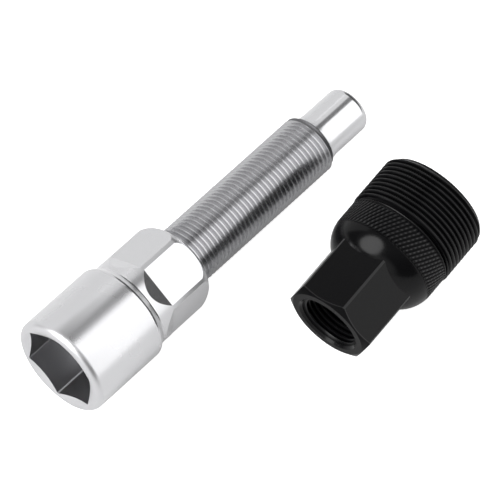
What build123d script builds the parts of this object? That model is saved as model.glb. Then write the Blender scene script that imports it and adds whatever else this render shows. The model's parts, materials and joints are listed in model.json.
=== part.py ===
from build123d import *
import os
from math import atan2, cos, degrees, radians, sin, sqrt, tan

# Bicycle pedal crank puller, lying unscrewed on a table: a plated spindle and a black puller body.
# Millimetres, +Z up, origin under the middle of the pair. The spindle lies along +X, socket at -X.
# Lengths and stations on each piece are measured along its own axis from its open mouth.

# Screw thread that joins the two pieces, M12 x 1
screw_diameter = 12.0
screw_pitch = 1.0
minor_depth_per_pitch = 1.0825
screw_minor_diameter = screw_diameter - minor_depth_per_pitch * screw_pitch

# Thread that screws into the crank arm, M22 x 1
crank_thread_diameter = 22.0
crank_thread_length = 10.6
crank_chamfer_length = 1.0
crank_chamfer_depth = 0.8

# Spindle: drive socket
socket_diameter = 20.0
socket_length = 16.6
socket_edge_radius = 1.2
socket_across_flats = 14.4
socket_depth = 13.0
socket_drill_diameter = 14.0
drill_point_angle = 118.0
drill_chisel_diameter = 1.0
countersink_diameter = 17.0
countersink_angle = 135.0

# Spindle: neck with its six wrench flats
shoulder_run = 1.4
shoulder_edge_radius = 1.2
shoulder_root_radius = 0.8
neck_diameter = 18.0
neck_length = 13.6
spindle_across_flats = 16.0
flat_length = 9.9
flat_ramp_angle = 20.0
neck_chamfer_length = 1.8
neck_face_diameter = 15.6

# Spindle: screw and push pin
screw_length = 37.4
screw_chamfer = 0.7
pin_diameter = 9.4
pin_length = 11.2
pin_flare_run = 2.4
pin_nose_radius = 1.5

# Puller body: wrench hexagon and bore
body_across_flats = 16.0
hex_corner_diameter = 18.2
hex_mouth_diameter = 15.5
hex_chamfer_angle = 30.0
bore_mouth_diameter = 12.9
bore_chamfer_angle = 45.0
cavity_diameter = 16.0
cavity_depth = 7.0
cavity_edge_chamfer = 0.5

# Puller body: dome, knurled band and relief groove
dome_station = 17.3
dome_radius = 6.5
dome_sink = 0.5
band_diameter = 21.6
band_width = 4.2
relief_width = 0.5
relief_depth = 0.4

# How the two pieces lie
spindle_roll = 0.8
body_roll = 20.5
body_yaw = 3.9
body_setback = 39.4
gap_between_pieces = 10.2

# Spare reach of a cutter past the face that it opens
cut_margin = 0.3

# Turn from a hexagon corner to the seam of the turned faces, clear of corners and of the middle of flats
seam_turn = 15.0

# Spindle stations and radii
socket_radius = socket_diameter / 2
neck_radius = neck_diameter / 2
neck_face_radius = neck_face_diameter / 2
screw_radius = screw_diameter / 2
pin_radius = pin_diameter / 2
neck_start = socket_length + shoulder_run
neck_end = neck_start + neck_length
screw_end = neck_end + screw_length
spindle_length = screw_end + pin_length
flat_radius = spindle_across_flats / 2
flat_foot = neck_end - flat_length

# Puller body stations and radii
band_radius = band_diameter / 2
band_end = dome_station + band_width
thread_start = band_end + relief_width
body_length = thread_start + crank_thread_length
crank_radius = crank_thread_diameter / 2
hex_radius = body_across_flats / 2

# The spindle rolls down onto its screw end: of the socket's rim and the hexagon's corners, the one
# that stands highest over the line of the floor carries the other end.
screw_contact = screw_end - screw_chamfer
carriers = [(socket_length, socket_radius), (neck_end - neck_chamfer_length, neck_radius)]
spindle_tilt = max(atan2(radius - screw_radius, screw_contact - station) for station, radius in carriers)
spindle_height = screw_contact * sin(spindle_tilt) + screw_radius * cos(spindle_tilt)

# The body lies on the front of the knurled band and on the first turn of its crank thread.
body_rests = [(dome_station, band_radius), (thread_start, crank_radius)]
body_tilt = atan2(crank_radius - band_radius, thread_start - dome_station)
body_height = crank_radius * cos(body_tilt) - thread_start * sin(body_tilt)

# Directions of the two axes, and the directions square to them that point up
yaw = radians(body_yaw)
spindle_direction = Vector(cos(spindle_tilt), 0, -sin(spindle_tilt))
spindle_up = Vector(sin(spindle_tilt), 0, cos(spindle_tilt))
body_direction = Vector(cos(body_tilt) * cos(yaw), cos(body_tilt) * sin(yaw), sin(body_tilt))
body_up = Vector(-sin(body_tilt) * cos(yaw), -sin(body_tilt) * sin(yaw), cos(body_tilt))

# The pair is centred on the origin: the spindle's mouth and tip set its ends along X, the socket's side
# and the side of the body that lies further out its width along Y.
mouth_rim_radius = socket_radius - socket_edge_radius
nose_ring_radius = pin_radius - pin_nose_radius
left_end = -mouth_rim_radius * sin(spindle_tilt)
nose_ring_reach = (spindle_length - pin_nose_radius) * cos(spindle_tilt)
right_end = nose_ring_reach + nose_ring_radius * sin(spindle_tilt) + pin_nose_radius
body_side = screw_radius + gap_between_pieces + crank_radius + body_length * body_direction.Y
ring_spread = sqrt(1 - body_direction.Y**2)
body_reach = max(radius * ring_spread - station * body_direction.Y for station, radius in body_rests)
near_side = -body_side - body_reach
spindle_x = -(left_end + right_end) / 2
spindle_y = -(socket_radius + near_side) / 2

spindle_origin = Vector(spindle_x, spindle_y, spindle_height)
body_origin = Vector(spindle_x + body_setback, spindle_y - body_side, body_height)


def turned(frame, angle):
    """A piece's frame, turned about the piece's own axis."""
    return Plane(frame.location * Rotation(0, 0, angle))


def profile_plane(frame):
    """Plane through a piece's axis: local X is the station, local Y the radius."""
    return Plane(origin=frame.origin, x_dir=frame.z_dir, z_dir=frame.y_dir)


def turning_plane(frame):
    """Profile plane for what is turned, with its seam between a hexagon's corner and its flat."""
    return profile_plane(turned(frame, seam_turn))


def cone_run(rise, angle_from_axis):
    """Length along the axis in which a cone changes its radius by rise."""
    return rise / tan(radians(angle_from_axis))


# In a piece's frame Z runs along its axis and X points up, turned by its roll to a hexagon corner.
spindle_level = Plane(origin=spindle_origin, x_dir=spindle_up, z_dir=spindle_direction)
spindle_frame = turned(spindle_level, spindle_roll)
body_level = Plane(origin=body_origin, x_dir=body_up, z_dir=body_direction)
body_frame = turned(body_level, body_roll)
spindle_axis = Axis(spindle_origin, spindle_direction)
body_axis = Axis(body_origin, body_direction)

# Spindle: one turned bar, then the flats and the drive socket
countersink_radius = countersink_diameter / 2
countersink_floor_radius = socket_across_flats / 2 - cut_margin
countersink_depth = cone_run(countersink_radius - countersink_floor_radius, countersink_angle / 2)
drill_radius = socket_drill_diameter / 2
chisel_radius = drill_chisel_diameter / 2
drill_point = socket_depth + cone_run(drill_radius - chisel_radius, drill_point_angle / 2)
screw_tip_radius = screw_radius - screw_chamfer
pin_start = screw_end + pin_flare_run

with BuildPart() as spindle:
    with BuildSketch(turning_plane(spindle_frame)):
        with BuildLine():
            FilletPolyline(
                (countersink_depth, 0),
                (countersink_depth, countersink_floor_radius),
                (0, countersink_radius),
                (0, socket_radius),
                (socket_length, socket_radius),
                (neck_start, neck_radius),
                (neck_end - neck_chamfer_length, neck_radius),
                radius=(0, 0, socket_edge_radius, shoulder_edge_radius, shoulder_root_radius),
            )
            Polyline(
                (neck_end - neck_chamfer_length, neck_radius),
                (neck_end, neck_face_radius),
                (neck_end, screw_radius),
                (screw_contact, screw_radius),
                (screw_end, screw_tip_radius),
            )
            TangentArc((pin_start, pin_radius), (screw_end, screw_tip_radius), tangent=(-1, 0))
            FilletPolyline(
                (pin_start, pin_radius),
                (spindle_length, pin_radius),
                (spindle_length, 0),
                (countersink_depth, 0),
                radius=(pin_nose_radius, 0),
            )
        make_face()
    revolve(axis=spindle_axis)

    # Each flat is milled along the neck with a ramp where the cutter lifts out.
    flat_top = neck_radius + cut_margin
    ramp_top = flat_foot - cone_run(flat_top - flat_radius, flat_ramp_angle)
    flat_frames = [turned(spindle_frame, 60 * side + 30) for side in range(6)]
    with BuildSketch(*[profile_plane(frame) for frame in flat_frames]):
        with BuildLine():
            Polyline(
                (ramp_top, flat_top),
                (flat_foot, flat_radius),
                (neck_end + cut_margin, flat_radius),
                (neck_end + cut_margin, flat_top),
                close=True,
            )
        make_face()
    extrude(amount=neck_radius, both=True, mode=Mode.SUBTRACT)

    # Drive socket: a broached hexagon over the blunt point of its pilot drill
    with BuildSketch(spindle_frame):
        RegularPolygon(radius=socket_across_flats / 2, side_count=6, major_radius=False)
    extrude(amount=socket_depth, mode=Mode.SUBTRACT)
    with BuildSketch(turning_plane(spindle_frame)):
        with BuildLine():
            Polyline(
                (socket_depth - cut_margin, 0),
                (socket_depth - cut_margin, drill_radius),
                (socket_depth, drill_radius),
                (drill_point, chisel_radius),
                (drill_point, 0),
                close=True,
            )
        make_face()
    revolve(axis=spindle_axis, mode=Mode.SUBTRACT)

# Puller body: a hexagon that runs into a turned dome, then the bore
hex_mouth_radius = hex_mouth_diameter / 2
hex_corner_radius = hex_corner_diameter / 2
hex_chamfer_run = cone_run(hex_corner_radius - hex_mouth_radius, 90 - hex_chamfer_angle)
dome_foot_radius = hex_radius - dome_sink
dome_drop = band_radius - dome_foot_radius
dome_run = sqrt(dome_drop * (2 * dome_radius - dome_drop))
dome_foot = dome_station - dome_run
relief_radius = band_radius - relief_depth
chamfer_start = body_length - crank_chamfer_length
chamfer_end_radius = crank_radius - crank_chamfer_depth
bore_radius = screw_minor_diameter / 2
bore_mouth_radius = bore_mouth_diameter / 2
bore_start = cone_run(bore_mouth_radius - bore_radius, bore_chamfer_angle)
bore_end = body_length - cavity_depth
cavity_radius = cavity_diameter / 2

with BuildPart() as puller_body:
    with BuildSketch(body_frame):
        RegularPolygon(radius=hex_radius, side_count=6, major_radius=False)
    extrude(amount=dome_station)
    with BuildSketch(turning_plane(body_frame)):
        with BuildLine():
            Polyline(
                (0, 0),
                (0, hex_mouth_radius),
                (hex_chamfer_run, hex_corner_radius),
                (dome_station, hex_corner_radius),
                (dome_station, 0),
                close=True,
            )
        make_face()
    revolve(axis=body_axis, mode=Mode.INTERSECT)

    with BuildSketch(turning_plane(body_frame)):
        with BuildLine():
            TangentArc((dome_station, band_radius), (dome_foot, dome_foot_radius), tangent=(-1, 0))
            Polyline(
                (dome_station, band_radius),
                (band_end, band_radius),
                (band_end, relief_radius),
                (thread_start, relief_radius),
                (thread_start, crank_radius),
                (chamfer_start, crank_radius),
                (body_length, chamfer_end_radius),
                (body_length, 0),
                (dome_foot, 0),
                (dome_foot, dome_foot_radius),
            )
        make_face()
    revolve(axis=body_axis)

    # Bore: countersunk mouth, minor diameter of the screw thread, and the recess that clears the axle end
    with BuildSketch(turning_plane(body_frame)):
        with BuildLine():
            Polyline(
                (0, 0),
                (0, bore_mouth_radius),
                (bore_start, bore_radius),
                (bore_end, bore_radius),
                (bore_end, cavity_radius),
                (body_length - cavity_edge_chamfer, cavity_radius),
                (body_length, cavity_radius + cavity_edge_chamfer),
                (body_length, 0),
                close=True,
            )
        make_face()
    revolve(axis=body_axis, mode=Mode.SUBTRACT)

spindle.part.label = "spindle"
puller_body.part.label = "puller_body"

os.makedirs("parts", exist_ok=True)
export_step(spindle.part, "parts/spindle.step")
export_step(puller_body.part, "parts/puller_body.step")

print(f"spindle tilt {degrees(spindle_tilt):.3f} deg, length {spindle_length:.2f} mm")
print(f"body tilt {degrees(body_tilt):.3f} deg, length {body_length:.2f} mm")
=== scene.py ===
# %% [markdown]
# # A bicycle crank puller, taken apart on a white table
# The tool is two turned pieces: a bright plated spindle with a hex socket, wrench flats, a fine screw and a
# push pin, and a black puller body that the spindle screws through. The CAD model already has their sizes
# and where they lie. What it leaves out is the fine work: the threads, the knurl, a few soft edges and the
# finishes. This lesson builds both pieces again with that work on them, in the same place.

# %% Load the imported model
import json
import math

import bmesh
import bpy
from mathutils import Matrix, Vector

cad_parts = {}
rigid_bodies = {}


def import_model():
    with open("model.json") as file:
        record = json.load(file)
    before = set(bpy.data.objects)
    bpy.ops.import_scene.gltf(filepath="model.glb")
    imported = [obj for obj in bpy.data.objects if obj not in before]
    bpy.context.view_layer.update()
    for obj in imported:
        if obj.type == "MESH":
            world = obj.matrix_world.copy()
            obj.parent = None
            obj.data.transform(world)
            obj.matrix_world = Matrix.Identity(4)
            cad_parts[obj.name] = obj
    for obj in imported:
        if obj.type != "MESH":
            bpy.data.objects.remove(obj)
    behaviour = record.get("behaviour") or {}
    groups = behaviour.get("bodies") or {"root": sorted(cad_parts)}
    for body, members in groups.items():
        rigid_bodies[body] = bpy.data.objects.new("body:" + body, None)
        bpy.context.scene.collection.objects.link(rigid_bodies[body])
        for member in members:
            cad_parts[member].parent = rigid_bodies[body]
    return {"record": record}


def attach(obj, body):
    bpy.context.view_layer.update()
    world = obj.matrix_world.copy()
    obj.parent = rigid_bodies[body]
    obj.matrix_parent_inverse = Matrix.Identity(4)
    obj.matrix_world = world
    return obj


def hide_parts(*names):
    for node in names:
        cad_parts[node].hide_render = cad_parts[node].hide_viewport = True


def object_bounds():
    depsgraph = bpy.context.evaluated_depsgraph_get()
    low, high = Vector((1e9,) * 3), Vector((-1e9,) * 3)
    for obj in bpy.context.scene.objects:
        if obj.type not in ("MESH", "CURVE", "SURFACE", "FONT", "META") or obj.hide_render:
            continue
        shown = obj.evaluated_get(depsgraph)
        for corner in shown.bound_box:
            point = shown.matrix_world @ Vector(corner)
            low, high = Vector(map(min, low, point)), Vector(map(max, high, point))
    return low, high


MM = 0.001
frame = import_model()
cad_low, cad_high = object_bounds()
print("CAD box in mm:", [round(x / MM, 2) for x in (*cad_low, *cad_high)])

# %% [markdown]
# ## Where each piece lies
# Both pieces are easiest to build upright at the origin, with Z along their own axis and stations measured
# from their open mouth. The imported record's mounts give each axis, so nothing is placed by eye. Local X is
# turned to a hexagon corner, as it is in the CAD model.

# %% Frames of the two pieces
SPINDLE_ROLL = math.radians(0.8)
BODY_ROLL = math.radians(20.5)
BORE_MIDDLE = 13.2956  # station of the middle of the body's threaded bore

mounts = {mount["name"]: mount for mount in frame["record"]["mounts"]}


def piece_frame(mouth, axis, roll):
    """Matrix from a piece's own frame, in metres, to the table's frame."""
    along = Vector(axis).normalized()
    up = Vector((0, 0, 1))
    level = (up - along * up.dot(along)).normalized()
    place = Matrix((level, along.cross(level), along)).transposed().to_4x4()
    place.translation = mouth
    return place @ Matrix.Rotation(roll, 4, "Z")


socket_mount = mounts["drive_socket"]
spindle_place = piece_frame(socket_mount["pos_m"], -Vector(socket_mount["axis"]), SPINDLE_ROLL)
body_axis = Vector(mounts["crank_thread"]["axis"])
body_mouth = Vector(mounts["screw_bore"]["pos_m"]) - body_axis * BORE_MIDDLE * MM
body_place = piece_frame(body_mouth, body_axis, BODY_ROLL)
for name, place in (("spindle", spindle_place), ("puller_body", body_place)):
    print(name, "mouth at", [round(x / MM, 2) for x in place.translation], "mm")

# %% [markdown]
# ## The finishes
# Every colour below is written as an sRGB hex value, as a colour picker shows it, and one function turns it
# into the linear value that the renderer works with. One small function adds a node with its settings and
# links, and it serves the materials and the Geometry Nodes trees alike. Painted images could give the same
# looks, but nodes stay sharp at any distance and their sizes are real millimetres.


# %% Colour and node helpers
MATH = "ShaderNodeMath"
RANGE = "ShaderNodeMapRange"
INTEGER = "FunctionNodeIntegerMath"
MIX = "ShaderNodeMix"
SHADER = "ShaderNodeBsdfPrincipled"


def linear(hex_colour):
    """RGBA in linear light from an sRGB hex value."""
    parts = [int(hex_colour[i : i + 2], 16) / 255 for i in (1, 3, 5)]
    return [c / 12.92 if c <= 0.04045 else ((c + 0.055) / 1.055) ** 2.4 for c in parts] + [1.0]


def add(tree, kind, inputs=None, **settings):
    """Adds one node: settings are its properties, inputs are links or plain values by socket."""
    node = tree.nodes.new(kind)
    for name, value in settings.items():
        setattr(node, name, value)
    for key, value in (inputs or {}).items():
        if isinstance(value, bpy.types.Node):
            value = value.outputs[0]
        if isinstance(value, bpy.types.NodeSocket):
            tree.links.new(value, node.inputs[key])
        else:
            node.inputs[key].default_value = value
    return node


def new_material(name):
    """An empty node material, and the tree to fill."""
    material = bpy.data.materials.new(name)
    material.use_nodes = True
    material.node_tree.nodes.clear()
    return material, material.node_tree


print("mid grey #808080 is", round(linear("#808080")[0], 3), "in linear light")

# %% [markdown]
# ### Bright plate on turned steel
# The spindle is turned steel with a bright nickel-chrome plate. Plate is thin, so it follows the fine rings
# that the turning tool left, and it mirrors the studio softly. A metal has no colour of its own but its
# reflection, so the base colour is how much light it gives back: about six tenths. The rings are drawn from
# the piece's own "station" attribute, the distance along its axis, so they stay square to the axis although
# the piece lies aslant.

# %% Turned and plated steel
METAL = {"Metallic": 1.0}
PLATE = "#CFCFD1"
TOOL_MARK = 0.22 * MM  # feed of the turning tool for each turn
MARK_DEPTH = 0.02 * MM
POLISH_PATCH = 6.0 * MM  # size of the soft patches where the polish differs


def cut_marks(tree, spacing, strength):
    """Lines that a cutter left square to the axis: their pattern, and the bump that it makes."""
    station = add(tree, "ShaderNodeAttribute", attribute_name="station").outputs["Fac"]
    spread = {"W": station, "Scale": 1 / spacing, "Detail": 2.0}
    lines = add(tree, "ShaderNodeTexNoise", spread, noise_dimensions="1D")
    return lines, add(tree, "ShaderNodeBump", {"Height": lines, "Strength": strength, "Distance": MARK_DEPTH})


# Turned steel under bright plate: soft stripes of light along the piece, faintly broken by rings.
plated, tree = new_material("bright_plated_steel")
rings = cut_marks(tree, TOOL_MARK, 0.10)[1]
place = add(tree, "ShaderNodeTexCoord").outputs["Object"]
patches = add(tree, "ShaderNodeTexNoise", {"Vector": place, "Scale": 1 / POLISH_PATCH, "Detail": 3.0})
roughness = add(tree, RANGE, {"Value": patches, "To Min": 0.24, "To Max": 0.32})
metal = add(tree, SHADER, {"Base Color": linear(PLATE), **METAL, "Roughness": roughness, "Normal": rings})
add(tree, "ShaderNodeOutputMaterial", {"Surface": metal})
print("material", plated.name)

# %% [markdown]
# ### Milled flats
# A milling cutter crosses the neck's flats and leaves fine lines that show through the plate. They too
# follow the station, so they run across a flat, and they change both the bump and the gloss. Cut as real
# grooves they would be finer than the picture can show.

# %% Milled flats
MILL_LINE = 0.25 * MM  # spacing of the cutter's lines across a flat

# Milled steel under plate: a flat mirror that is a little streaked across.
milled, tree = new_material("plated_milled_flat")
lines, cut = cut_marks(tree, MILL_LINE, 0.12)
roughness = add(tree, RANGE, {"Value": lines, "To Min": 0.18, "To Max": 0.26})
metal = add(tree, SHADER, {"Base Color": linear(PLATE), **METAL, "Roughness": roughness, "Normal": cut})
add(tree, "ShaderNodeOutputMaterial", {"Surface": metal})
print("material", milled.name)

# %% [markdown]
# ### Polished, satin and socket finishes
# The same plate looks different where the steel under it was finished another way. The push pin and the
# socket's shoulder are polished. The rim and the neck's edges are rubbed down to a satin. Plate hardly
# reaches into a socket, so its broached walls stay greyer, and a painted highlight, a paler line, runs along
# its corners. Each of these is one colour whose roughness changes from spot to spot, so one function makes
# them all.

# %% Polished, satin and socket finishes
SATIN_GRAIN = 0.4 * MM  # the grit's marks are finer than the picture shows, so they are drawn coarser
BROACH_MARK = 0.3 * MM  # size of the marks that the broach leaves on the walls


def grained(name, colour, grain, shader, roughness, detail=2.0):
    """A finish of one colour whose roughness changes over spots of one size."""
    material, tree = new_material(name)
    place = add(tree, "ShaderNodeTexCoord").outputs["Object"]
    spots = add(tree, "ShaderNodeTexNoise", {"Vector": place, "Scale": 1 / grain, "Detail": detail})
    low, high = roughness
    rough = add(tree, RANGE, {"Value": spots, "To Min": low, "To Max": high})
    surface = add(tree, SHADER, {"Base Color": linear(colour), "Roughness": rough, **shader})
    add(tree, "ShaderNodeOutputMaterial", {"Surface": surface})
    print("material", name)
    return material


# Polished plate: clear, narrow reflections.
polished = grained("polished_push_pin", PLATE, POLISH_PATCH, METAL, roughness=(0.14, 0.2), detail=3.0)
# Satin plate: no clear reflection, only a wide soft glow.
satin = grained("satin_plated_rim", PLATE, SATIN_GRAIN, METAL, roughness=(0.36, 0.48))
# Broached steel under thin plate: greyer and blurred, so the socket looks deep.
broached = grained("broached_socket_steel", "#B4B4B6", BROACH_MARK, METAL, roughness=(0.25, 0.38))
# Painted highlight: a pale matt line along each corner of the socket, where the corners would catch the
# light.
socket_corner_highlight = grained("painted_highlight_socket_corner", "#D0D0D2", BROACH_MARK, METAL, roughness=(0.53, 0.67))

# %% [markdown]
# ### Rolled thread
# The thread's colour holds painted light: its grooves are painted lighter to offset the shade that gathers
# in them, and its crests darker to tone down their highlights. The node tree further down stores how deep
# each point lies as the attribute "groove", 0 on a crest and 1 in a root, and this material reads it. The
# last turn is worn dull, because that is where the screw is started in the body.

# %% Plated thread
SCREW_END = 69.0  # station where the screw ends and the push pin starts
WEAR_FADES = 1.2  # how far before the screw's end the worn turn fades out
WEAR_FULL = 0.8

# Rolled thread under plate: fine bright and grey lines round the screw, and a dull grey last turn. The crests
# are painted darker against their highlights and the grooves lighter against their shade.
plated_thread, tree = new_material("plated_rolled_thread")
groove = add(tree, "ShaderNodeAttribute", attribute_name="groove").outputs["Fac"]
station = add(tree, "ShaderNodeAttribute", attribute_name="station").outputs["Fac"]
shade = add(tree, MIX, {"Factor": groove, "A": linear("#AAAAAC"), "B": linear("#CCCCCE")}, data_type="RGBA")
fades, full = ((SCREW_END - wear) * MM for wear in (WEAR_FADES, WEAR_FULL))
worn_end = add(tree, RANGE, {"Value": station, "From Min": fades, "From Max": full})
shade = add(
    tree,
    MIX,
    {"Factor": worn_end, "A": shade.outputs["Result"], "B": linear("#747476")},
    data_type="RGBA",
)
polish = add(tree, RANGE, {"Value": groove, "To Min": 0.2, "To Max": 0.28})
roughness = add(tree, RANGE, {"Value": worn_end, "To Min": polish, "To Max": 0.6})
metal = add(tree, SHADER, {"Base Color": shade.outputs["Result"], **METAL, "Roughness": roughness})
add(tree, "ShaderNodeOutputMaterial", {"Surface": metal})
print("material", plated_thread.name)

# %% [markdown]
# ### Black coat
# The body is steel with a thin black coat, deep black where it faces the eye, with only a soft gloss on the
# dome. Such a coat reflects little, so its specular level is lower than a plastic's. The lathe faced the
# mouth, and the coat took up less shine there. Highlights are painted on as a lighter colour and a higher
# gloss: on the crests of the thread and the knurl, whose grooves keep a painted darker shade, and along the
# hexagon's edges.

# %% Black coat
COAT = "#080809"
COAT_GRAIN = 0.35 * MM  # size of the coat's fine grain
GLOSSY = {"Specular IOR Level": 0.15}
DULL = {"Specular IOR Level": 0.05}

# Black coat on turned steel: black, with a soft clear gloss where it turns to the light.
coated = grained("black_coated_steel", COAT, COAT_GRAIN, GLOSSY, roughness=(0.15, 0.22))
# Black coat on a faced cut: black and almost without gloss.
faced = grained("faced_black_mouth", COAT, COAT_GRAIN, DULL, roughness=(0.25, 0.35))


# %% Black coat with painted crest highlights
def painted_crest_highlights(name, crest_depth, shades, gloss, roughness):
    """A black coat painted lighter and glossier on crests as highlights, darker in grooves as shade. Each
    pair is the groove's, then theirs.
    """
    material, tree = new_material(name)
    groove = add(tree, "ShaderNodeAttribute", attribute_name="groove").outputs["Fac"]
    crest = add(tree, RANGE, {"Value": groove, "From Max": crest_depth, "To Min": 1.0, "To Max": 0.0})
    dark, light = (linear(colour) for colour in shades)
    shade = add(tree, MIX, {"Factor": crest, "A": dark, "B": light}, data_type="RGBA")
    shine = add(tree, RANGE, {"Value": crest, "To Min": gloss[0], "To Max": gloss[1]})
    coat = add(
        tree,
        SHADER,
        {"Base Color": shade.outputs["Result"], "Roughness": roughness, "Specular IOR Level": shine},
    )
    add(tree, "ShaderNodeOutputMaterial", {"Surface": coat})
    print("material", name)
    return material


# Cut thread under black coat: painted highlights as grey lines on black.
black_thread = painted_crest_highlights(
    "black_coated_thread",
    crest_depth=0.6,
    shades=("#040405", "#0E0E0F"),
    gloss=(0.04, 0.24),
    roughness=0.28,
)
# Knurl under black coat: slanted rows of grey points, painted highlights on its crests.
black_knurl = painted_crest_highlights(
    "black_coated_knurl",
    crest_depth=0.5,
    shades=("#050506", "#151516"),
    gloss=(0.05, 0.4),
    roughness=0.3,
)

# %% Painted edge highlights
HIGHLIGHT_PATCH = 0.8 * MM  # length of the spots over which the painted highlight's shade and gloss change

# Painted highlight on black coat: thin dark grey lines that draw the edges, where they would catch the light.
edge_highlight, tree = new_material("painted_highlight_black_edge")
place = add(tree, "ShaderNodeTexCoord").outputs["Object"]
highlight_spots = add(tree, "ShaderNodeTexNoise", {"Vector": place, "Scale": 1 / HIGHLIGHT_PATCH, "Detail": 2.0})
shade = add(tree, MIX, {"Factor": highlight_spots, "A": linear("#0A0A0B"), "B": linear("#171718")}, data_type="RGBA")
roughness = add(tree, RANGE, {"Value": highlight_spots, "To Min": 0.25, "To Max": 0.35})
coat = add(
    tree,
    SHADER,
    {"Base Color": shade.outputs["Result"], "Roughness": roughness, "Specular IOR Level": 0.28},
)
add(tree, "ShaderNodeOutputMaterial", {"Surface": coat})
print("material", edge_highlight.name)

# %% [markdown]
# ## Turned skins
# A turned piece is a stack of rings. Each ring is written as a station and a radius, in millimetres, and the
# rings are joined from the inside out, through the mouth, to the far end, so all faces point outwards.
# Where flats are cut, a ring's station and radius change with the angle from the middle of a flat, and its
# points are moved to fall on the flats' edges. A screw modifier on a profile could not do that.

# %% Ring helpers
COLUMNS = 132  # points round a ring
SIDE_COLUMNS = COLUMNS // 6
SIXTH = math.tau / 6
EVEN = [math.tau * column / COLUMNS for column in range(COLUMNS)]


def hex_angles(flat_radius, corner_radius):
    """Angles of a ring with points on both ends of every flat and on every corner."""
    corner = SIXTH / 2 - math.acos(flat_radius / corner_radius)
    step = (SIXTH - 2 * corner) / (SIDE_COLUMNS - 2)
    side = [0.0] + [corner + step * k for k in range(SIDE_COLUMNS - 1)]
    return [SIXTH * s + angle for s in range(6) for angle in side]


def hex_radius(flat_radius, corner_radius):
    """Radius of a round bar with six flats, as a function of the angle from a flat's middle."""
    return lambda lean: min(corner_radius, flat_radius / math.cos(lean))


def ring(shell, station, radius, angles=EVEN):
    """One ring of points. Station and radius are numbers, or functions of the angle from a flat's middle."""
    points = []
    for angle in angles:
        lean = angle % SIXTH - SIXTH / 2
        s = station(lean) if callable(station) else station
        r = radius(lean) if callable(radius) else radius
        points.append(shell.verts.new((r * MM * math.cos(angle), r * MM * math.sin(angle), s * MM)))
    return points


def pole(shell, station):
    """A ring that is one point on the axis."""
    return [shell.verts.new((0, 0, station * MM))] * COLUMNS


print(f"rings of {COLUMNS} points, {360 / COLUMNS:.1f} degrees apart")


# %% Skin and shell helpers
CRISP_EDGE = math.radians(18)  # edges that bend more than this stay crisp
SHELL_WELD = 0.001 * MM


def skin(shell, rings, finish, corner_finish=None):
    """Joins each ring to the next. Where one has more points, each face takes its share of them."""
    if corner_finish is None:
        corner_finish = finish
    for lower, upper in zip(rings, rings[1:]):
        count = min(len(lower), len(upper))
        low_step = len(lower) // count
        high_step = len(upper) // count
        for j in range(count):
            low = [lower[(j * low_step + k) % len(lower)] for k in range(low_step + 1)]
            high = [upper[(j * high_step + k) % len(upper)] for k in range(high_step + 1)]
            corners = list(dict.fromkeys(low + high[::-1]))
            at_corner = j % SIDE_COLUMNS in (0, SIDE_COLUMNS - 1)
            shell.faces.new(corners).material_index = corner_finish if at_corner else finish


def finished_shell(shell, name, materials):
    """Welds the rings, marks the crisp edges, and gives an object with these materials."""
    bmesh.ops.remove_doubles(shell, verts=shell.verts, dist=SHELL_WELD)
    mesh = bpy.data.meshes.new(name)
    shell.to_mesh(mesh)
    shell.free()
    mesh.shade_smooth()
    mesh.set_sharp_from_angle(angle=CRISP_EDGE)
    for material in materials:
        mesh.materials.append(material)
    piece = bpy.data.objects.new(name, mesh)
    bpy.context.scene.collection.objects.link(piece)
    print(name, "shell has", len(mesh.polygons), "faces")
    return piece


# %% Rounding helpers
def rounded(before, corner, after, radius, steps=6):
    """Points of the arc that rounds a corner of a profile."""
    corner = Vector(corner)
    back = (Vector(before) - corner).normalized()
    ahead = (Vector(after) - corner).normalized()
    half = back.angle(ahead) / 2
    centre = corner + (back + ahead).normalized() * radius / math.sin(half)
    first = corner + back * radius / math.tan(half) - centre
    last = corner + ahead * radius / math.tan(half) - centre
    return [centre + first.slerp(last, k / steps) * radius for k in range(steps + 1)]


def arc_rings(shell, centre, radius, way, first_skin, last_radius, steps, angles):
    """Rings along an arc of the profile, from a skin with flats to a round ring. Way is 1 or -1 along Z."""
    rings = []
    last_swing = math.acos((last_radius - centre[1]) / radius)
    for k in range(steps + 1):
        share = k / steps

        def swing(lean):
            first_swing = math.acos((first_skin(lean) - centre[1]) / radius)
            return first_swing + (last_swing - first_swing) * share

        rings.append(
            ring(
                shell,
                lambda lean: centre[0] + way * radius * math.sin(swing(lean)),
                lambda lean: centre[1] + radius * math.cos(swing(lean)),
                [a + (b - a) * share for a, b in zip(angles, EVEN)],
            )
        )
    return rings


# %% [markdown]
# ### The spindle's shell
# A bar is turned to a socket with rounded edges, a shoulder, a neck, a screw and a pin. The socket is
# drilled, countersunk and broached to a hexagon, so its shell starts at the drill's point and comes out
# through the mouth. A Boolean could cut the socket too, but it leaves long thin faces where the countersink
# meets the hexagon, and bright plate shows them.

# %% Drive socket
SOCKET_DEPTH = 13.0
SOCKET_FLAT = 7.2
SOCKET_CORNER = 8.24
DRILL_RADIUS = 7.0
DRILL_POINT = 16.91
DRILL_CHISEL = 0.5  # radius of the small flat that the drill's point leaves
COUNTERSINK = 8.5  # radius of the countersink at the mouth
COUNTERSINK_RISE = math.tan(math.radians(22.5))  # its depth for each millimetre of radius

PLATED, BROACHED, MILLED, CORNER_HIGHLIGHT, SATIN, POLISHED = range(6)  # slots of the spindle's materials
shell = bmesh.new()
socket_angles = hex_angles(SOCKET_FLAT, SOCKET_CORNER)
socket_wall = hex_radius(SOCKET_FLAT, SOCKET_CORNER)


def countersink(lean):
    """Station where the socket's wall comes out in the countersink."""
    return (COUNTERSINK - socket_wall(lean)) * COUNTERSINK_RISE


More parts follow.
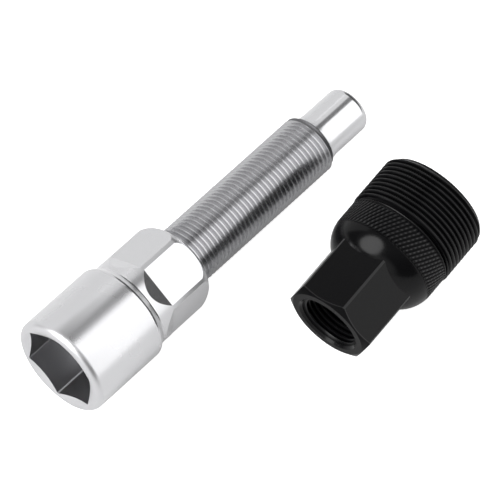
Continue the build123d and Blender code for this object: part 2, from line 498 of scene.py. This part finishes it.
drill_profile = ((DRILL_POINT, DRILL_CHISEL), (SOCKET_DEPTH, DRILL_RADIUS))
drilled = [pole(shell, DRILL_POINT)] + [ring(shell, *point) for point in drill_profile]
socket_floor = ring(shell, SOCKET_DEPTH, socket_wall, socket_angles)
socket_mouth = ring(shell, countersink, socket_wall, socket_angles)
skin(shell, [*drilled, socket_floor], BROACHED)
# The socket's corners take the painted highlight line.
skin(shell, [socket_floor, socket_mouth], BROACHED, CORNER_HIGHLIGHT)
print("drive socket has", len(shell.faces), "faces")

# %% Rim, barrel and shoulder
SOCKET_RADIUS = 10.0
SOCKET_LENGTH = 16.6
NECK_START = 18.0
NECK_RADIUS = 9.0
FLAT_FOOT = 21.7  # station where a flat is at its full depth
EDGE_RADII = (0.2, 1.2, 1.2, 0.8)  # of the countersink's edge, the rim, the shoulder and its root

barrel = [
    (COUNTERSINK_RISE, COUNTERSINK - 1.0),
    (0.0, COUNTERSINK),
    (0.0, SOCKET_RADIUS),
    (SOCKET_LENGTH, SOCKET_RADIUS),
    (NECK_START, NECK_RADIUS),
    (FLAT_FOOT, NECK_RADIUS),
]
edges = [
    [ring(shell, *point) for point in rounded(*barrel[k : k + 3], radius)]
    for k, radius in enumerate(EDGE_RADII)
]
rim = [socket_mouth, *edges[0], *edges[1]]
shoulder = [*edges[2], *edges[3]]
skin(shell, rim, SATIN)
skin(shell, [rim[-1], shoulder[0]], PLATED)
skin(shell, shoulder, POLISHED)
print("with rim and shoulder", len(shell.faces), "faces")

# %% [markdown]
# ### Neck and pin
# Six flats are milled along the neck, and each ends in a short ramp where the cutter lifted out. The ramp's
# edge is where a slanting plane leaves the round neck, so its station follows from the angle. At the rear the
# neck is rounded over, from flats and corners to one round face. The screw is left open, because its thread
# is made by nodes, and the pin goes on from the screw's end with a gentle cone and a round nose.

# %% Neck with milled flats
NECK_FLAT = 8.0
NECK_END = 31.6
NECK_FACE = 7.8  # radius of the round face at the neck's end
RAMP_RISE = math.tan(math.radians(20))
REAR_CENTRE = (29.1365, 6.0558)  # station and radius of the centre of the arc that rounds the rear
REAR_RADIUS = 3.018
REAR_STEPS = 8
SCREW_TIP = 5.3  # radius of the screw's ends, inside their chamfers
WELD_BAND = 0.1  # width of a ring beside a weld, which keeps the shading of each side to itself

neck_angles = hex_angles(NECK_FLAT, NECK_RADIUS)
neck_skin = hex_radius(NECK_FLAT, NECK_RADIUS)


def ramp_top(lean):
    """Station where a flat's ramp comes out on the round neck."""
    return FLAT_FOOT - max(0.0, NECK_RADIUS * math.cos(lean) - NECK_FLAT) / RAMP_RISE


ramp_edge = ring(shell, ramp_top, NECK_RADIUS, neck_angles)
ramp_foot = ring(shell, FLAT_FOOT, neck_skin, neck_angles)
rear = arc_rings(shell, REAR_CENTRE, REAR_RADIUS, 1, neck_skin, NECK_FACE, REAR_STEPS, neck_angles)
neck_face = [rear[-1]] + [ring(shell, NECK_END, radius) for radius in (SCREW_TIP + WELD_BAND, SCREW_TIP)]
skin(shell, [shoulder[-1], ramp_edge], PLATED)
skin(shell, [ramp_edge, ramp_foot, rear[0]], MILLED, SATIN)
skin(shell, rear, SATIN)
skin(shell, neck_face, PLATED)
print("with the neck", len(shell.faces), "faces")

# %% Push pin
PIN_RADIUS = 4.7
PIN_FOOT = 5.0
PIN_START = 71.4
SPINDLE_END = 80.2
NOSE_RADIUS = 1.5
NOSE_STEPS = 10

nose_profile = ((PIN_START, PIN_RADIUS), (SPINDLE_END, PIN_RADIUS), (SPINDLE_END, 0.0))
foot = [(SCREW_END, SCREW_TIP), (SCREW_END, PIN_FOOT), (PIN_START, PIN_RADIUS)]
pin = [ring(shell, *point) for point in (*foot, *rounded(*nose_profile, NOSE_RADIUS, NOSE_STEPS))]
pin.append(pole(shell, SPINDLE_END))
skin(shell, pin, POLISHED)
spindle = finished_shell(shell, "plated_spindle", [plated, broached, milled, socket_corner_highlight, satin, polished])

# %% [markdown]
# ### The body's shell
# The body starts as a hexagon with a chamfered mouth, and the chamfer's edge is a thin painted highlight
# line.
# A dome is turned into the hexagon, so each flat ends in a curve where the dome cuts it. The knurled band,
# the crank thread and the screw thread in the bore are left open for the nodes. The ring where the knurl
# starts has more points than the others, because the knurl needs them to show its ridges.

# %% Hexagon and dome
HEX_FLAT = 8.0
HEX_CORNER = 9.1
HEX_MOUTH = 7.75  # radius of the mouth's round face
HEX_CHAMFER = math.tan(math.radians(60))  # how fast the chamfer widens along the axis
HIGHLIGHT_BAND = 0.2  # width of the painted highlight line along the chamfer's edge
BORE_START = 0.45  # station where the countersink ends and the bore's thread starts
BORE_MAJOR = 6.0
BORE_MOUTH = 6.45
BAND_START = 17.3  # station where the dome runs into the band
DOME_RADIUS = 6.5  # of the dome's arc
DOME_CENTRE = 4.3  # distance of that arc's centre from the axis
DOME_STEPS = 14
KNURL_START = 15.9  # the knurl runs over the shoulder, onto the dome
KNURL_COLUMNS = COLUMNS * 4

COATED, HIGHLIT_EDGE, FACED = range(3)  # slots of the body's materials
shell = bmesh.new()
hexagon = hex_angles(HEX_FLAT, HEX_CORNER)
hex_skin = hex_radius(HEX_FLAT, HEX_CORNER)
knurl_ring = [math.tau * column / KNURL_COLUMNS for column in range(KNURL_COLUMNS)]


def hex_chamfer(lean):
    """Station where the mouth's chamfer meets the hexagon."""
    return (hex_skin(lean) - HEX_MOUTH) / HEX_CHAMFER


def highlight_band_end(lean):
    """Station where the painted highlight line behind the chamfer ends."""
    return hex_chamfer(lean) + HIGHLIGHT_BAND


def dome_at(station):
    """Radius of the dome at a station."""
    return DOME_CENTRE + math.sqrt(DOME_RADIUS**2 - (BAND_START - station) ** 2)


mouth = [
    ring(shell, BORE_START, BORE_MAJOR),
    ring(shell, 0.0, BORE_MOUTH),
    ring(shell, 0.0, HEX_MOUTH),
    ring(shell, hex_chamfer, hex_skin, hexagon),
    ring(shell, highlight_band_end, hex_skin, hexagon),
]
dome_end = dome_at(KNURL_START - WELD_BAND)
dome = arc_rings(shell, (BAND_START, DOME_CENTRE), DOME_RADIUS, -1, hex_skin, dome_end, DOME_STEPS, hexagon)
dome.append(ring(shell, KNURL_START, dome_at(KNURL_START), knurl_ring))
skin(shell, mouth[:2], COATED)
skin(shell, mouth[1:4], FACED)
# The chamfer's edge band and the hexagon's corners take the painted highlight.
skin(shell, mouth[3:], HIGHLIT_EDGE)
skin(shell, [mouth[-1], dome[0]], COATED, HIGHLIT_EDGE)
skin(shell, dome, COATED)
print("hexagon and dome have", len(shell.faces), "faces")

# %% [markdown]
# ### Band's rim, relief and recess
# Behind the knurl the band ends in a narrow raised rim, with a painted highlight on it as a thin grey line. A
# relief groove parts it from the crank thread, so that the thread's cutter can run out. At the far end a
# recess clears the end of the crank axle. All of it is turned, so plain rings are enough.

# %% Rim, relief and recess
BAND_RADIUS = 10.8
BAND_END = 21.5
RIM_START = 21.3
RIM_GROOVE = (21.32, 10.68)  # station and radius of the rim's foot beside the knurl
RIM_CREST = (21.46, 10.79)  # and of its top
RIM_CORNER = 10.74  # radius of its worn corner
RELIEF = 10.4  # radius of the relief groove
CRANK_START = 21.8
CRANK_ROOT = 10.5  # radius of the crank thread's roots
CRANK_TIP = 10.2  # radius of its end, inside the chamfer
BODY_END = 32.6
BORE_END = 25.6
RECESS = 8.0  # radius of the recess
RECESS_CHAMFER = 0.5

rim_profile = (RIM_GROOVE, RIM_CREST, (BAND_END, RIM_CORNER), (BAND_END, RELIEF))
rim = [ring(shell, RIM_START, BAND_RADIUS, knurl_ring)] + [ring(shell, *point) for point in rim_profile]
relief = [rim[-1], ring(shell, CRANK_START, RELIEF), ring(shell, CRANK_START, CRANK_ROOT)]
recess = [
    (BODY_END, CRANK_TIP),
    (BODY_END, RECESS + RECESS_CHAMFER),
    (BODY_END - RECESS_CHAMFER, RECESS),
    (BORE_END, RECESS),
    (BORE_END, BORE_MAJOR),
]
# The rim takes the painted highlight, a thin grey line.
skin(shell, rim, HIGHLIT_EDGE)
skin(shell, relief, COATED)
skin(shell, [ring(shell, *point) for point in recess], COATED)
body = finished_shell(shell, "black_puller_body", [coated, edge_highlight, faced])

# %% [markdown]
# ## Threads and knurl by Geometry Nodes
# A thread and a knurl follow one rule all the way along, so node trees make them. Each tree rolls a flat grid
# into a sleeve, moves its points in or out by the rule, and welds the sleeve to the open rings of the shell.
# A curve swept along a helix could draw a thread too, but its ends would not close on the shell.

# %% Tree helpers
SLEEVE_WELD = 0.002 * MM
STORE = "GeometryNodeStoreNamedAttribute"
SHARED_INPUTS = {
    "Start": "Float",
    "Length": "Float",
    "Columns": "Int",
    "Inside": "Bool",
    "Mark": "String",
    "Finish": "Material",
}


def new_tree(name, sizes):
    """A Geometry Nodes tree with a mesh in and out, its own sizes, and the inputs that all sleeves share."""
    tree = bpy.data.node_groups.new(name, "GeometryNodeTree")
    tree.interface.new_socket("Mesh", in_out="OUTPUT", socket_type="NodeSocketGeometry")
    tree.interface.new_socket("Mesh", in_out="INPUT", socket_type="NodeSocketGeometry")
    for label, kind in {**sizes, **SHARED_INPUTS}.items():
        tree.interface.new_socket(label, in_out="INPUT", socket_type="NodeSocket" + kind)
    return tree, tree.nodes.new("NodeGroupInput").outputs


def sleeve_grid(tree, columns, rows):
    """The flat grid of a sleeve, and each point's row, share of a turn and angle."""
    lines = add(tree, INTEGER, {0: columns, 1: 1}, operation="ADD")
    grid = add(tree, "GeometryNodeMeshGrid", {"Vertices X": lines, "Vertices Y": rows})
    index = add(tree, "GeometryNodeInputIndex")
    column = add(tree, INTEGER, {0: index, 1: rows}, operation="DIVIDE_FLOOR")
    row = add(tree, INTEGER, {0: index, 1: rows}, operation="MODULO")
    share = add(tree, MATH, {0: column, 1: columns}, operation="DIVIDE")
    angle = add(tree, MATH, {0: share, 1: math.tau}, operation="MULTIPLY")
    return grid, row, share, angle


# %% Rolling and welding helper
def close_tree(tree, given, grid, angle, station, radius, depth_share, crisp):
    """Rolls the grid into its sleeve, welds it to the shell, and gives it its finish."""
    cosine = add(tree, MATH, {0: angle}, operation="COSINE")
    sine = add(tree, MATH, {0: angle}, operation="SINE")
    across = add(tree, MATH, {0: radius, 1: cosine}, operation="MULTIPLY")
    up = add(tree, MATH, {0: radius, 1: sine}, operation="MULTIPLY")
    along = add(tree, MATH, {0: station, 1: given["Start"]}, operation="ADD")
    point = add(tree, "ShaderNodeCombineXYZ", {"X": across, "Y": up, "Z": along})
    tube = add(tree, "GeometryNodeSetPosition", {"Geometry": grid, "Position": point})
    tube = add(tree, STORE, {"Geometry": tube, "Name": "groove", "Value": depth_share})
    tube = add(
        tree,
        STORE,
        {"Geometry": tube, "Name": given["Mark"], "Value": True},
        data_type="BOOLEAN",
        domain="FACE",
    )
    tube = add(tree, "GeometryNodeFlipFaces", {"Mesh": tube, "Selection": given["Inside"]})
    joined = add(tree, "GeometryNodeJoinGeometry", {"Geometry": given["Mesh"]})
    tree.links.new(tube.outputs[0], joined.inputs[0])
    welded = add(tree, "GeometryNodeMergeByDistance", {"Geometry": joined, "Distance": SLEEVE_WELD})
    marked = add(tree, "GeometryNodeInputNamedAttribute", {"Name": given["Mark"]}, data_type="BOOLEAN")
    bend = add(tree, "GeometryNodeInputMeshEdgeAngle").outputs["Unsigned Angle"]
    sharp = add(tree, "FunctionNodeCompare", {"A": bend, "B": crisp}, operation="GREATER_THAN")
    edged = add(
        tree,
        STORE,
        {"Geometry": welded, "Selection": marked, "Name": "sharp_edge", "Value": sharp},
        data_type="BOOLEAN",
        domain="EDGE",
    )
    smooth = add(tree, "GeometryNodeSetShadeSmooth", {"Geometry": edged, "Selection": marked})
    real = add(tree, "GeometryNodeRealizeInstances", {"Geometry": smooth})
    finish = add(
        tree,
        "GeometryNodeSetMaterial",
        {"Geometry": real, "Selection": marked, "Material": given["Finish"]},
    )
    add(tree, "NodeGroupOutput", {"Mesh": finish})
    print("tree", tree.name, "has", len(tree.nodes), "nodes")
    return tree


# %% [markdown]
# ### Thread
# The rows of a thread's sleeve climb one pitch for each turn. Each turn has four rows: the end of a root,
# both edges of the crest, and the start of the next root, so its flanks are flat and its edges crisp. The
# sleeve is longer than the thread, and what stands out at either end is pressed flat against the end. Both
# ends are chamfered, as a lathe hand does before cutting a thread, and that leaves a plain ring to weld.
# The same tree gives the spindle's screw, the crank thread and the thread in the bore.

# %% Thread grid
THREAD_LENGTHS = ("Radius", "Depth", "Pitch", "Start Cut", "End Cut")
THREAD_SHARES = ("Crest", "Root", "Start Slope", "End Slope")
SPARE_TURNS = 1.5  # turns beyond the thread's length, so that the sleeve is whole all round at both ends
TURN_ROWS = 4

tree, given = new_tree("screw_thread_sleeve", dict.fromkeys(THREAD_LENGTHS + THREAD_SHARES, "Float"))
turns = add(tree, MATH, {0: given["Length"], 1: given["Pitch"]}, operation="DIVIDE")
spare = add(tree, MATH, {0: turns, 1: SPARE_TURNS}, operation="ADD")
whole = add(tree, MATH, {0: spare}, operation="CEIL")
rows = add(tree, MATH, {0: whole, 1: TURN_ROWS, 2: 1.0}, operation="MULTIPLY_ADD")
grid, row, share, angle = sleeve_grid(tree, given["Columns"], rows)
turn = add(tree, INTEGER, {0: row, 1: TURN_ROWS}, operation="DIVIDE_FLOOR")
corner = add(tree, INTEGER, {0: row, 1: TURN_ROWS}, operation="MODULO")
print("thread grid has", len(tree.nodes), "nodes")

# %% Thread helix
MIDDLE_ROW = 1.5  # middle of the four rows of a turn, which are numbered from 0
CREST_ROWS = 0.6  # rows nearer to the middle than this, which are 1 and 2, lie on the crest
LEAD_TURNS = 1.0  # turns of the sleeve that come before the thread's start

on_crest = add(tree, MATH, {0: corner, 1: MIDDLE_ROW, 2: CREST_ROWS}, operation="COMPARE")
late = add(tree, MATH, {0: corner, 1: MIDDLE_ROW}, operation="GREATER_THAN")
way = add(tree, RANGE, {"Value": late, "To Min": -1.0, "To Max": 1.0})
root_reach = add(tree, MATH, {0: given["Root"], 1: -0.5, 2: 0.5}, operation="MULTIPLY_ADD")
crest_reach = add(tree, MATH, {0: given["Crest"], 1: 0.5}, operation="MULTIPLY")
reach = add(tree, RANGE, {"Value": on_crest, "To Min": root_reach, "To Max": crest_reach})
phase = add(tree, MATH, {0: way, 1: reach, 2: turn}, operation="MULTIPLY_ADD")
helix = add(tree, MATH, {0: phase, 1: share}, operation="ADD")
from_start = add(tree, MATH, {0: helix, 1: LEAD_TURNS}, operation="SUBTRACT")
free = add(tree, MATH, {0: from_start, 1: given["Pitch"]}, operation="MULTIPLY")
station = add(tree, "ShaderNodeClamp", {"Value": free, "Min": 0.0, "Max": given["Length"]})
print("with its helix", len(tree.nodes), "nodes")

# %% Thread depth and chamfers
THREAD_BEND = math.radians(25)  # edges of crests and roots bend more than this and stay crisp

profile = add(tree, RANGE, {"Value": on_crest, "To Min": given["Depth"], "To Max": 0.0})
start_rise = add(tree, MATH, {0: station, 1: given["Start Slope"]}, operation="MULTIPLY")
lead_in = add(tree, MATH, {0: given["Start Cut"], 1: start_rise}, operation="SUBTRACT")
to_end = add(tree, MATH, {0: given["Length"], 1: station}, operation="SUBTRACT")
end_fall = add(tree, MATH, {0: to_end, 1: given["End Slope"]}, operation="MULTIPLY")
lead_out = add(tree, MATH, {0: given["End Cut"], 1: end_fall}, operation="SUBTRACT")
ends = add(tree, MATH, {0: lead_in, 1: lead_out}, operation="MAXIMUM")
depth = add(tree, MATH, {0: profile, 1: ends}, operation="MAXIMUM")
side = add(tree, RANGE, {"Value": given["Inside"], "To Min": -1.0, "To Max": 1.0})
radius = add(tree, MATH, {0: depth, 1: side, 2: given["Radius"]}, operation="MULTIPLY_ADD")
depth_share = add(tree, MATH, {0: depth, 1: given["Depth"]}, operation="DIVIDE")
thread_tree = close_tree(tree, given, grid, angle, station, radius, depth_share, THREAD_BEND)

# %% [markdown]
# ### Knurl
# A knurl is pressed by two wheels with slanted teeth, so it is two sets of grooves that cross and leave small
# diamonds. One wheel pressed harder here, so its grooves are deeper and the diamonds stand in slanted rows.
# Each set is a triangular wave over the turn and the station, and a point lies as deep as the deeper of the
# two. The grooves fade out at both edges, and at the front the ground falls away with the dome.

# %% Knurl grid and grooves
KNURL_LENGTHS = ("Radius", "Depth", "Ridge Run", "Shoulder", "Shoulder Radius", "Fade")
knurl_sizes = dict.fromkeys((*KNURL_LENGTHS, "Cross Share"), "Float") | {"Ridges": "Int", "Rows": "Int"}
GROOVE_REACH = 0.4  # half-width of a groove, as a share of the ridges' spacing

tree, given = new_tree("diamond_knurl_sleeve", knurl_sizes)
grid, row, share, angle = sleeve_grid(tree, given["Columns"], given["Rows"])
last_row = add(tree, INTEGER, {0: given["Rows"], 1: 1}, operation="SUBTRACT")
part = add(tree, MATH, {0: row, 1: last_row}, operation="DIVIDE")
station = add(tree, MATH, {0: part, 1: given["Length"]}, operation="MULTIPLY")
round_count = add(tree, MATH, {0: share, 1: given["Ridges"]}, operation="MULTIPLY")
long_count = add(tree, MATH, {0: station, 1: given["Ridge Run"]}, operation="DIVIDE")
cuts = []
for slant, deepest in (("SUBTRACT", 1.0), ("ADD", given["Cross Share"])):
    count = add(tree, MATH, {0: round_count, 1: long_count}, operation=slant)
    wave = add(tree, MATH, {0: count, 1: 0.5}, operation="PINGPONG")
    groove = {"Value": wave, "From Max": GROOVE_REACH, "To Min": deepest, "To Max": 0.0}
    cuts.append(add(tree, RANGE, groove))
sunk = add(tree, MATH, dict(enumerate(cuts)), operation="MAXIMUM")
print("knurl grid and grooves have", len(tree.nodes), "nodes")

# %% Knurl edges and ground
to_end = add(tree, MATH, {0: given["Length"], 1: station}, operation="SUBTRACT")
to_edge = add(tree, MATH, {0: station, 1: to_end}, operation="MINIMUM")
fade = add(tree, RANGE, {"Value": to_edge, "From Max": given["Fade"]})
profile = add(tree, MATH, {0: sunk, 1: given["Depth"]}, operation="MULTIPLY")
depth = add(tree, MATH, {0: profile, 1: fade}, operation="MULTIPLY")
before = add(tree, MATH, {0: given["Shoulder"], 1: station}, operation="SUBTRACT")
over = add(tree, MATH, {0: before, 1: 0.0}, operation="MAXIMUM")
square = add(tree, MATH, {0: over, 1: 2.0}, operation="POWER")
bend = add(tree, MATH, {0: given["Shoulder Radius"], 1: 2.0}, operation="POWER")
rest = add(tree, MATH, {0: bend, 1: square}, operation="SUBTRACT")
reach = add(tree, MATH, {0: rest}, operation="SQRT")
fall = add(tree, MATH, {0: given["Shoulder Radius"], 1: reach}, operation="SUBTRACT")
ground = add(tree, MATH, {0: given["Radius"], 1: fall}, operation="SUBTRACT")
radius = add(tree, MATH, {0: ground, 1: depth}, operation="SUBTRACT")
plain = add(tree, MATH, {0: 1.0, 1: fade}, operation="SUBTRACT")
depth_share = add(tree, MATH, {0: sunk, 1: plain}, operation="MAXIMUM")
knurl_tree = close_tree(tree, given, grid, angle, station, radius, depth_share, math.pi)

# %% [markdown]
# ## Cut the threads and press the knurl
# Each sleeve is one modifier, and its sizes are set by the socket's identifier before Blender evaluates the
# piece. Then the result is taken as a plain mesh, the modifiers go, and the mesh is moved to where the piece
# lies, so that the object itself stays at the origin. The station along the axis is stored first, for the
# finishes that follow it.


# %% Modifier and bake helpers
def sleeve(piece, tree, mark, finish, lengths, shape, inside=False):
    """Adds a sleeve. Lengths are in millimetres, and shape holds its counts, shares and slopes."""
    modifier = piece.modifiers.new(mark, "NODES")
    modifier.node_group = tree
    values = {name: length * MM for name, length in lengths.items()}
    values |= {"Mark": mark, "Finish": finish, "Inside": inside, **shape}
    for item in tree.interface.items_tree:
        if item.in_out == "INPUT" and item.name in values:
            modifier[item.identifier] = values[item.name]


def bake(piece, place):
    """Turns the modifiers' result into the piece's own mesh, and moves it to its place."""
    depsgraph = bpy.context.evaluated_depsgraph_get()
    mesh = bpy.data.meshes.new_from_object(
        piece.evaluated_get(depsgraph), preserve_all_data_layers=True, depsgraph=depsgraph
    )
    piece.modifiers.clear()
    piece.data = mesh
    bare = [slot for slot, material in enumerate(mesh.materials) if material is None]
    for slot in reversed(bare):
        mesh.materials.pop(index=slot)
    along = mesh.attributes.new("station", "FLOAT", "POINT")
    along.data.foreach_set("value", [vertex.co.z for vertex in mesh.vertices])
    mesh.transform(place)
    check = bmesh.new()
    check.from_mesh(mesh)
    open_edges = sum(len(edge.link_faces) != 2 for edge in check.edges)
    volume = check.calc_volume(signed=True)
    check.free()
    mesh.calc_loop_triangles()
    print(
        piece.name,
        f"{len(mesh.loop_triangles)} triangles, {open_edges} open edges, {volume / MM**3:.0f} mm3,",
        [material.name for material in mesh.materials],
    )


# %% [markdown]
# ### The spindle's screw
# A metric thread has flanks at 60 degrees to the axis, so its depth follows from the widths of its crest and
# root. Here both are narrower than the standard's, so the thread is cut a little deeper, and its lines come
# out as clear as they are in the photograph.

# %% Spindle's screw
PITCH = 1.0
SCREW_RADIUS = 6.0
SCREW_CREST = 0.06  # crest and root are shares of the pitch
SCREW_ROOT = 0.135
SCREW_DEPTH = round((1 - SCREW_CREST - SCREW_ROOT) / 2 * PITCH * math.tan(math.radians(60)), 3)
SCREW_CHAMFER = SCREW_RADIUS - SCREW_TIP

sleeve(
    spindle,
    thread_tree,
    "screw",
    plated_thread,
    {
        "Radius": SCREW_RADIUS,
        "Depth": SCREW_DEPTH,
        "Pitch": PITCH,
        "Start": NECK_END,
        "Length": SCREW_END - NECK_END,
        "Start Cut": SCREW_CHAMFER,
        "End Cut": SCREW_CHAMFER,
    },
    {"Crest": SCREW_CREST, "Root": SCREW_ROOT, "Start Slope": 1.0, "End Slope": 1.0, "Columns": COLUMNS},
)
bake(spindle, spindle_place)

# %% [markdown]
# ### The body's threads and knurl
# The crank thread screws into the crank arm, and the thread in the bore takes the spindle's screw. The
# knurl's count and slant are judged from the photograph, which blurs most of its ridges.

# %% Body's crank thread and bore thread
CRANK_RADIUS = 11.0
BORE_RADIUS = 5.45875
BORE_DEPTH = BORE_MAJOR - BORE_RADIUS

sleeve(
    body,
    thread_tree,
    "crank_thread",
    black_thread,
    {
        "Radius": CRANK_RADIUS,
        "Depth": CRANK_RADIUS - CRANK_ROOT,
        "Pitch": PITCH,
        "Start": CRANK_START,
        "Length": BODY_END - CRANK_START,
        "Start Cut": CRANK_RADIUS - CRANK_ROOT,
        "End Cut": CRANK_RADIUS - CRANK_TIP,
    },
    {"Crest": 0.12, "Root": 0.12, "Start Slope": 2.5, "End Slope": 0.8, "Columns": COLUMNS},
)
sleeve(
    body,
    thread_tree,
    "bore_thread",
    black_thread,
    {
        "Radius": BORE_RADIUS,
        "Depth": BORE_DEPTH,
        "Pitch": PITCH,
        "Start": BORE_START,
        "Length": BORE_END - BORE_START,
        "Start Cut": BORE_DEPTH,
        "End Cut": BORE_DEPTH,
    },
    {"Crest": 0.25, "Root": 0.1, "Start Slope": 1.0, "End Slope": 1.0, "Columns": COLUMNS},
    inside=True,
)
print("sleeves on the body:", [modifier.name for modifier in body.modifiers])

# %% Body's knurl
KNURL_DEPTH = 0.24
KNURL_RIDGES = 76
KNURL_SLANT = math.radians(30)
KNURL_CROSS = 0.48  # depth of the second wheel's grooves, as a share of the first's
KNURL_FADE = 0.4
KNURL_ROWS = 52

sleeve(
    body,
    knurl_tree,
    "knurl",
    black_knurl,
    {
        "Radius": BAND_RADIUS,
        "Depth": KNURL_DEPTH,
        "Ridge Run": math.tau * BAND_RADIUS / KNURL_RIDGES / math.tan(KNURL_SLANT),
        "Shoulder": BAND_START - KNURL_START,
        "Shoulder Radius": DOME_RADIUS,
        "Fade": KNURL_FADE,
        "Start": KNURL_START,
        "Length": RIM_START - KNURL_START,
    },
    {"Cross Share": KNURL_CROSS, "Ridges": KNURL_RIDGES, "Rows": KNURL_ROWS, "Columns": KNURL_COLUMNS},
)
bake(body, body_place)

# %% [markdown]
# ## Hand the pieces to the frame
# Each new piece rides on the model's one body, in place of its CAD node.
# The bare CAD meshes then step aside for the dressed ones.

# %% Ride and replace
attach(spindle, "root")
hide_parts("spindle")
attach(body, "root")
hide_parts("puller_body")

# %% [markdown]
# ## Floor and light
# The pieces lie on a white table in a bright studio. The floor is lit by the lamps and adds a glow of its
# own for the camera, and a fainter one in mirror-like reflections, so it reads as white and still takes a
# soft shadow. Chrome shows its surroundings, so the lamps are large cards: their places are what draws the
# light and dark stripes along the spindle. The room between them is dim, because bright plate needs
# something dark to mirror.

# %% Floor
FLOOR_SIZE = 3.0
FLOOR_GLOW = 0.85
MIRRORED_GLOW = 0.12

half = FLOOR_SIZE / 2
floor_corners = [(-half, -half, 0), (half, -half, 0), (half, half, 0), (-half, half, 0)]
floor_mesh = bpy.data.meshes.new("white_table")
floor_mesh.from_pydata(floor_corners, [], [(0, 1, 2, 3)])
floor = bpy.data.objects.new("white_table", floor_mesh)
bpy.context.scene.collection.objects.link(floor)
floor.location.z = cad_low.z

# Painted board: white, without any gloss of its own.
white_table, tree = new_material("white_table_top")
path = add(tree, "ShaderNodeLightPath").outputs
mirrored = add(tree, MATH, {0: path["Is Glossy Ray"], 1: MIRRORED_GLOW}, operation="MULTIPLY")
glow = add(tree, MATH, {0: path["Is Camera Ray"], 1: FLOOR_GLOW, 2: mirrored}, operation="MULTIPLY_ADD")
paint = add(
    tree,
    SHADER,
    {
        "Base Color": linear("#D8D8D8"),
        "Roughness": 0.9,
        "Specular IOR Level": 0.0,
        "Emission Color": linear("#FFFFFF"),
        "Emission Strength": glow,
    },
)
add(tree, "ShaderNodeOutputMaterial", {"Surface": paint})
floor_mesh.materials.append(white_table)
print("floor", FLOOR_SIZE, "m across")

# %% World
ROOM_LOW = 0.1  # light of the room at the horizon
ROOM_HIGH = 0.3  # and overhead
ROOM_STEP = (0.4, 0.9)  # heights, as sines, between which it grows
ROOM_FRONT = 1.0  # what a window left of the camera adds
WINDOW = (-0.951, -0.255, 0.174)  # direction of the window's middle
WINDOW_EDGE = (0.88, 0.97)  # cosines of the angles where its light starts and is full

world = bpy.data.worlds.new("studio")
bpy.context.scene.world = world
world.use_nodes = True
tree = world.node_tree
tree.nodes.clear()
path = add(tree, "ShaderNodeLightPath").outputs
direction = add(tree, "ShaderNodeTexCoord").outputs["Generated"]
height = add(tree, "ShaderNodeSeparateXYZ", {"Vector": direction}).outputs["Z"]
low, high = ROOM_STEP
overhead = add(
    tree,
    RANGE,
    {"Value": height, "From Min": low, "From Max": high, "To Min": ROOM_LOW, "To Max": ROOM_HIGH},
    interpolation_type="SMOOTHSTEP",
)
toward = add(tree, "ShaderNodeVectorMath", {0: direction, 1: WINDOW}, operation="DOT_PRODUCT")
edge, full = WINDOW_EDGE
window = add(
    tree,
    RANGE,
    {"Value": toward.outputs["Value"], "From Min": edge, "From Max": full, "To Max": ROOM_FRONT},
)
graded = add(tree, MATH, {0: overhead, 1: window}, operation="ADD")
strength = add(tree, RANGE, {"Value": path["Is Camera Ray"], "To Min": graded, "To Max": 1.0})
room = add(tree, "ShaderNodeBackground", {"Color": linear("#FFFFFF"), "Strength": strength})
add(tree, "ShaderNodeOutputWorld", {"Surface": room})
print("room light", ROOM_LOW, "to", ROOM_HIGH, "and", ROOM_FRONT)


# %% Lamps
def light_card(name, centre, aim, width, height, radiance, shape="RECTANGLE"):
    """A flat lamp that faces a point. Radiance 1 looks white in a mirror."""
    lamp = bpy.data.lights.new(name, "AREA")
    lamp.shape = shape
    lamp.size = width
    lamp.size_y = height
    lamp.energy = radiance * math.pi * width * height
    card = bpy.data.objects.new(name, lamp)
    bpy.context.scene.collection.objects.link(card)
    card.location = centre
    card.rotation_euler = (Vector(aim) - Vector(centre)).to_track_quat("-Z", "Y").to_euler()
    card.visible_camera = False
    print(name, f"{lamp.energy:.2f} W")


# Each card has its centre, the point that it faces, its width and height in metres, and its radiance.
light_card("key_card", (0.35, -0.391, 0.33), (0.35, -0.093, 0.024), 0.6, 0.95, 1.6)
light_card("back_card", (0.3, 0.6, 0.36), (0.3, 0.0, 0.36), 1.04, 0.72, 0.9)
light_card("ceiling_card", (0.63, 0.432, 0.74), (0.63, 0.0, -0.062), 0.6, 0.36, 0.84)
light_card("side_card", (-0.517, 0.209, 0.502), (0.0, 0.0, 0.0), 0.56, 0.87, 4.8, "ELLIPSE")

# %% [markdown]
# ## Camera
# The photograph looks down on the table from the left front through a long lens, so the sides of the pieces
# stay almost parallel. The values come from a fit of the CAD model's outlines to those in the picture.

# %% Camera
CAMERA_TARGET = Vector((2.099, 5.898, 10.0)) * MM
CAMERA_FORWARD = Vector((0.38120, 0.33893, -0.86013)).normalized()
CAMERA_DISTANCE = 772.4 * MM
CAMERA_LENS = 305.2

camera_data = bpy.data.cameras.new("camera")
camera_data.sensor_width = 36.0
camera_data.lens = CAMERA_LENS
camera_data.clip_start = 0.01
camera = bpy.data.objects.new("camera", camera_data)
bpy.context.scene.collection.objects.link(camera)
camera.location = CAMERA_TARGET - CAMERA_FORWARD * CAMERA_DISTANCE
camera.rotation_mode = "QUATERNION"
camera.rotation_quaternion = CAMERA_FORWARD.to_track_quat("-Z", "Y")
bpy.context.scene.camera = camera
bpy.context.scene.view_settings.view_transform = "Standard"
print("camera at", [round(x, 3) for x in camera.location], "m")
